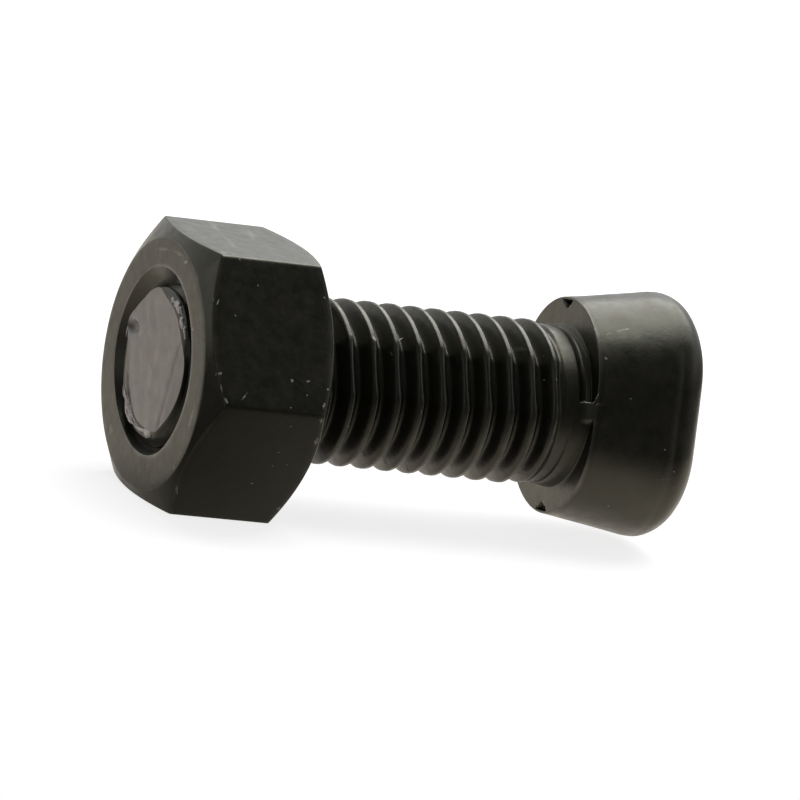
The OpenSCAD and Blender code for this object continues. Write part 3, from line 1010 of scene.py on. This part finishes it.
def carveHead(x, radius, own):
    # V notches at the two ends of the bearing face, and the web on the front side of the neck
    size = headSizes
    along, across = radius * sine(own), -radius * cosine(own)
    if x < size["notchDepth"]:
        wedge = ramp(abs(along), size["notchLow"], size["notchHigh"])
        rough = noise.noise(Vector((across, along, 5.0)) * size["notchGrain"])
        inside = wedge * size["notchWidth"] - abs(across) + size["notchRough"] * min(wedge, 0.4) * rough
        notch = soft(inside, 0.0, 0.15) * (1 - soft(abs(along), size["notchHigh"], size["notchHigh"] + 0.05))
        x = mix(x, size["notchDepth"], notch)
    if across < 0 and size["ribStart"] <= x < size["ribEnd"]:
        low, lowEdge, high, highEdge = (size["rib" + part] for part in ("Low", "LowEdge", "High", "HighEdge"))
        share = between(along, low - lowEdge, low + lowEdge, high - highEdge, high + highEdge)
        side = size["halfWidth"] / abs(cosine(own))
        web = mix(size["ribRadius"], side, soft(x, size["ribStart"], size["ribEnd"]))
        if x <= 0:
            web += 0.02 * (radius - 4.5)  # keeps the bearing face's rings apart where the web lies over them
        radius = mix(radius, web, share)
    return x, radius


def endRings(reach):
    # Rings from the thread's first ring, whose radius at each angle is given, over the lip to the
    # middle of the sheared face. Each point is x, radius, angle and the share of bare metal.
    size = endSizes
    faces = [around(size["faceRadius"], a) for a in fineAngles]
    lips = [max(around(size["lipRadius"], a), face + size["lipGap"]) for a, face in zip(fineAngles, faces)]
    rings = []
    for t in size["taperRows"]:
        x = mix(threadSizes["Start"], size["lipX"], t)
        rings.append([(x, mix(reach[k], lips[k], soft(t, 0, 1)), a, 0.0) for k, a in enumerate(fineAngles)])
    for t in size["lipRows"]:
        ring = []
        for lip, face, a in zip(lips, faces, fineAngles):
            radius = mix(lip, face, t)
            x = mix(size["lipX"], size["x"] + size["lipLow"], 1 - (1 - t) ** size["lipCurve"])
            torn = between(a, *size["tornSpan"]) * math.sin(math.pi * t)
            ripple = math.sin(2 * math.pi * (radius / size["rippleRadius"] + a / size["rippleTurn"]))
            x -= torn * size["tornHeight"] * ripple
            groove = math.exp(-((t - size["groovePlace"]) / size["grooveWidth"]) ** 2)
            x += size["grooveDepth"] * between(a, *size["grooveSpan"]) * groove
            ring.append((max(x, size["x"]), radius, a, size["tornBare"] * torn))
        rings.append(ring)
    edge, bare = size["edgeRound"], size["tornBare"]
    rings.append([(size["x"] + edge / 4, face - edge, a, bare) for face, a in zip(faces, fineAngles)])
    for share in size["faceRows"]:
        ring = []
        for face, a in zip(faces, fineAngles):
            radius = face * share
            y, z = -radius * cosine(a), radius * sine(a)
            past = radius * cosine(a - size["facetAngle"]) - size["facetStart"]
            crease = math.exp(-(past / size["creaseWidth"]) ** 2)
            x = size["x"] + max(0.0, past) * size["facetSlope"] + size["creaseDepth"] * crease
            dent = math.hypot((y - size["dentY"]) / size["dentLong"], (z - size["dentZ"]) / size["dentHigh"])
            dent = 1 - soft(dent, size["dentFlat"], 1.0)
            x += size["dentDepth"] * dent
            x += size["faceUneven"] * (noise.noise(Vector((y, z, 3.0))) + 0.5)
            # painted shade: a darker streak runs beside the facet, along its crease, and the facet beyond it
            # is a little paler
            paintedShadeStreak = math.exp(-((past + size["streakPlace"]) / size["streakWidth"]) ** 2)
            paintedShadeStreak *= soft(z, size["streakHigh"], size["streakLow"])
            bare = 0.9 + 0.1 * soft(past, -0.1, 0.1) - size["streakTone"] * paintedShadeStreak
            ring.append((max(x, size["x"]), radius, a, bare - size["dentTone"] * dent))
        rings.append(ring)
    return rings


def makeBolt():
    mesh = rollThread("boltThread", threadSizes, boltFinish)
    body, (startRing, neckRing) = openThread(mesh)
    reach = [math.hypot(v.co.y, v.co.z) / mm for v in startRing]
    reach = [(reach[k // 2] + reach[(k + 1) // 2 % columns]) / 2 for k in range(len(fineAngles))]
    last = startRing
    for ring in endRings(reach):
        points = [onAxis(x, radius, angle) for x, radius, angle, bare in ring]
        last = growRing(body, last, points, bare=[bare for x, radius, angle, bare in ring])
    closeRing(body, last, onAxis(endSizes["x"] + 0.01, 0, 0), 1.0)
    last = neckRing
    size = headSizes
    for x, above, below in neckShape:
        points = []
        for angle in fineAngles:
            own = (angle - size["turn"] + 180) % 360 - 180
            carved = carveHead(x, mix(below, above, between(own, *neckShare)), own)
            points.append(onAxis(carved[0], carved[1], angle))
        last = growRing(body, last, points)
    edge = len(size["seatRows"]) - 1
    for row, ring in enumerate(headRings()):
        points = []
        for x, radius, own in ring:
            x, radius = carveHead(x, radius, own)
            if x > 0.1:
                point = onAxis(x, radius, own + size["turn"])
                dip = size["dip"] * (0.5 + noise.noise(point / mm / size["dipSpan"]))
                radius -= dip * soft(x, 0.1, 1.0)
            points.append(onAxis(x, radius, own + size["turn"]))
        # the bearing face's edge is rubbed
        last = growRing(body, last, points, wear=1.0 if edge <= row <= edge + len(size["edgeRows"]) else 0.0)
    closeRing(body, last, onAxis(size["height"], 0, 0))
    finishPiece(body, "ovalHeadBolt", boltFinish, "bolt")


def makeShreds():
    body = bmesh.new()
    body.verts.layers.float.new("wear")
    body.verts.layers.float.new("bare")
    rows, sides = shredSizes["rows"], shredSizes["sides"]
    for path, width, thickness in shreds:
        knots = [onAxis(*point) for point in path]
        knots = [2 * knots[0] - knots[1]] + knots + [2 * knots[-1] - knots[-2]]
        centres = []
        for i in range(rows + 1):
            place = i / rows * (len(path) - 1)
            j = min(int(place), len(path) - 2)
            centres.append(bend(*knots[j:j + 4], place - j))
        last = None
        for i in range(1, rows):
            along = (centres[i + 1] - centres[i - 1]).normalized()
            # on the end face a strip lies flat on it, and elsewhere on the bolt's round
            out = Vector((0, centres[i].y, centres[i].z)).normalized()
            if path[0][0] < threadSizes["Start"]:
                out = Vector((-1, 0, 0))
            side = along.cross(out).normalized()
            up = side.cross(along)
            uneven = 1 + shredSizes["uneven"] * noise.noise(centres[i] / mm * shredSizes["grain"])
            swell = math.sin(math.pi * i / rows) ** shredSizes["taper"] * uneven
            points = []
            for k in range(sides):
                a = 2 * math.pi * k / sides
                offset = side * width * math.cos(a) + up * thickness * math.sin(a)
                points.append(centres[i] + offset * swell * mm)
            if last:
                last = growRing(body, last, points)
            else:
                last = addRing(body, points)
                closeRing(body, last, centres[0])
        closeRing(body, last, centres[-1])
    for v in body.verts:
        v.co.x = max(v.co.x, endSizes["x"] * mm)
    finishPiece(body, "tornMetal", tornFinish, "bolt")


makeBolt()
makeShreds()
print("stage: bolt")


# Nut

nutSizes = {
    "acrossFlats": 15.75,
    "start": -26.5,
    "end": -18.3,
    "throatX": -25.9,
    "throatRadius": 5.1,
    "chamferStart": 7.45,
    # radius of the countersink's mouth and of the flat face, on the outer side every 30 degrees from the
    # front going up, and on the inner side the same all round
    "mouthRadius": (5.5, 5.35, 5.42, 5.62, 5.74, 5.82, 5.82, 5.5, 5.25, 5.35, 5.54, 5.5),
    "faceRadius": (7.5, 7.17, 7.05, 7.25, 7.42, 7.45, 7.45, 7.45, 7.45, 7.4, 7.52, 7.78),
    "innerMouthRadius": (5.7,),
    "innerFaceRadius": (7.45,),
    "chamfer": 30.0, "leastChamfer": 0.12,
    "edgeDepth": 0.01,  # the rounded edges of the mouth and the face are this deep, and reach this far
    "mouthEdge": 0.04, "faceEdge": 0.02, "chamferEdge": 0.035,
    "cornerRadius": 0.25,
    # rows of points, as shares of the way over the countersink and over the chamfer, with its outer edge
    # as (how far in from the chamfer, how far set in, wear)
    "sinkRows": (0.25, 0.5, 0.75, 0.93),
    "faceRows": 6,
    "chamferRows": (0.12, 0.35, 0.6, 0.85, 1.0),
    "outerRows": ((0.012, 0.008, 1.0), (0.045, 0.0, 0.7)),
    "flatRows": 14,
    "crowding": 1.6,  # columns crowd towards the corners
    "cornerWear": 0.6, "wearFade": 0.35,
}


def nutColumn(k):
    # Angle and reach of one column on the hexagon, and how many columns it stands from a corner
    size = nutSizes
    half = size["acrossFlats"] / 2
    side = columns // 6
    place = k % side
    near = min(place, side - place)
    width = half * math.tan(math.radians(30))
    fromCorner = width * (near / (side / 2)) ** size["crowding"]
    lean = math.degrees(math.atan((width - fromCorner) / half))
    middle = 30 + 60 * (k // side)
    angle = middle - lean if place <= side / 2 else middle + lean
    reach = half / cosine(lean)
    centre = (half - size["cornerRadius"]) / cosine(30)
    off = 30 - lean
    inside = size["cornerRadius"] ** 2 - (centre * sine(off)) ** 2
    if inside > 0:
        reach = min(reach, centre * cosine(off) + math.sqrt(inside))
    return angle, reach, near


def nutEndRings(mouths, faces):
    # Rings from the countersink's mouth over the face and the chamfer to the edge of the flats. Each
    # point is its distance in from the face, radius, angle and wear.
    size = nutSizes
    slope = math.tan(math.radians(size["chamfer"]))
    hexColumns = [nutColumn(k) for k in range(columns)]
    even = [k * 360 / columns for k in range(columns)]
    mouth = [around(mouths, a) for a in even]
    flat = [min(around(faces, angle), reach - size["leastChamfer"]) for angle, reach, near in hexColumns]
    sink, deep = size["throatX"] - size["start"], size["edgeDepth"]
    band, edge, inset = size["mouthEdge"], size["faceEdge"], size["chamferEdge"]
    rings = []
    for t in size["sinkRows"]:
        rings.append([(sink * (1 - t), mix(size["throatRadius"], m, t), a, 0.0) for m, a in zip(mouth, even)])
    rings.append([(deep, m - deep, a, 1.0) for m, a in zip(mouth, even)])
    rings.append([(0.0, m + band, a, 1.0) for m, a in zip(mouth, even)])
    for i in range(1, size["faceRows"] + 1):
        share = i / size["faceRows"]
        ring = []
        for m, a, f, (angle, reach, near) in zip(mouth, even, flat, hexColumns):
            ring.append((0.0, mix(m + band, f - band, share), mix(a, angle, share), 0.0))
        rings.append(ring)
    rings.append([(deep, f + edge, angle, 1.0) for f, (angle, reach, near) in zip(flat, hexColumns)])
    for share in size["chamferRows"]:
        ring = []
        for f, (angle, reach, near) in zip(flat, hexColumns):
            end = (reach - inset - size["chamferStart"]) * slope
            wear = 0.5 if share == 1.0 else 0.0
            ring.append((mix(deep, end, share), mix(f + edge, reach - inset, share), angle, wear))
        rings.append(ring)
    for further, inset, wear in size["outerRows"]:
        ring = []
        for angle, reach, near in hexColumns:
            ring.append(((reach - size["chamferStart"]) * slope + further, reach - inset, angle, wear))
        rings.append(ring)
    return rings


def makeNut():
    size = nutSizes
    mesh = rollThread("nutThread", nutThreadSizes, nutFinish)
    body, (outerRing, innerRing) = openThread(mesh)
    edges = []
    ends = (
        (outerRing, size["start"], 1, size["mouthRadius"], size["faceRadius"]),
        (innerRing, size["end"], -1, size["innerMouthRadius"], size["innerFaceRadius"]),
    )
    for last, face, inward, mouths, faces in ends:
        for ring in nutEndRings(mouths, faces):
            points = [onAxis(face + inward * x, radius, angle) for x, radius, angle, wear in ring]
            last = growRing(body, last, points, [wear for x, radius, angle, wear in ring])
        edges.append(last)
    first, end = edges
    last = first
    wears = [max(0.0, size["cornerWear"] - size["wearFade"] * nutColumn(k)[2]) for k in range(columns)]
    for i in range(1, size["flatRows"]):
        share = i / size["flatRows"]
        last = growRing(body, last, [a.co.lerp(b.co, share) for a, b in zip(first, end)], wears)
    joinRings(body, last, end)
    finishPiece(body, "hexNut", nutFinish, "nut")


makeNut()
print("stage: nut")

bpy.context.scene.view_settings.view_transform = "Standard"
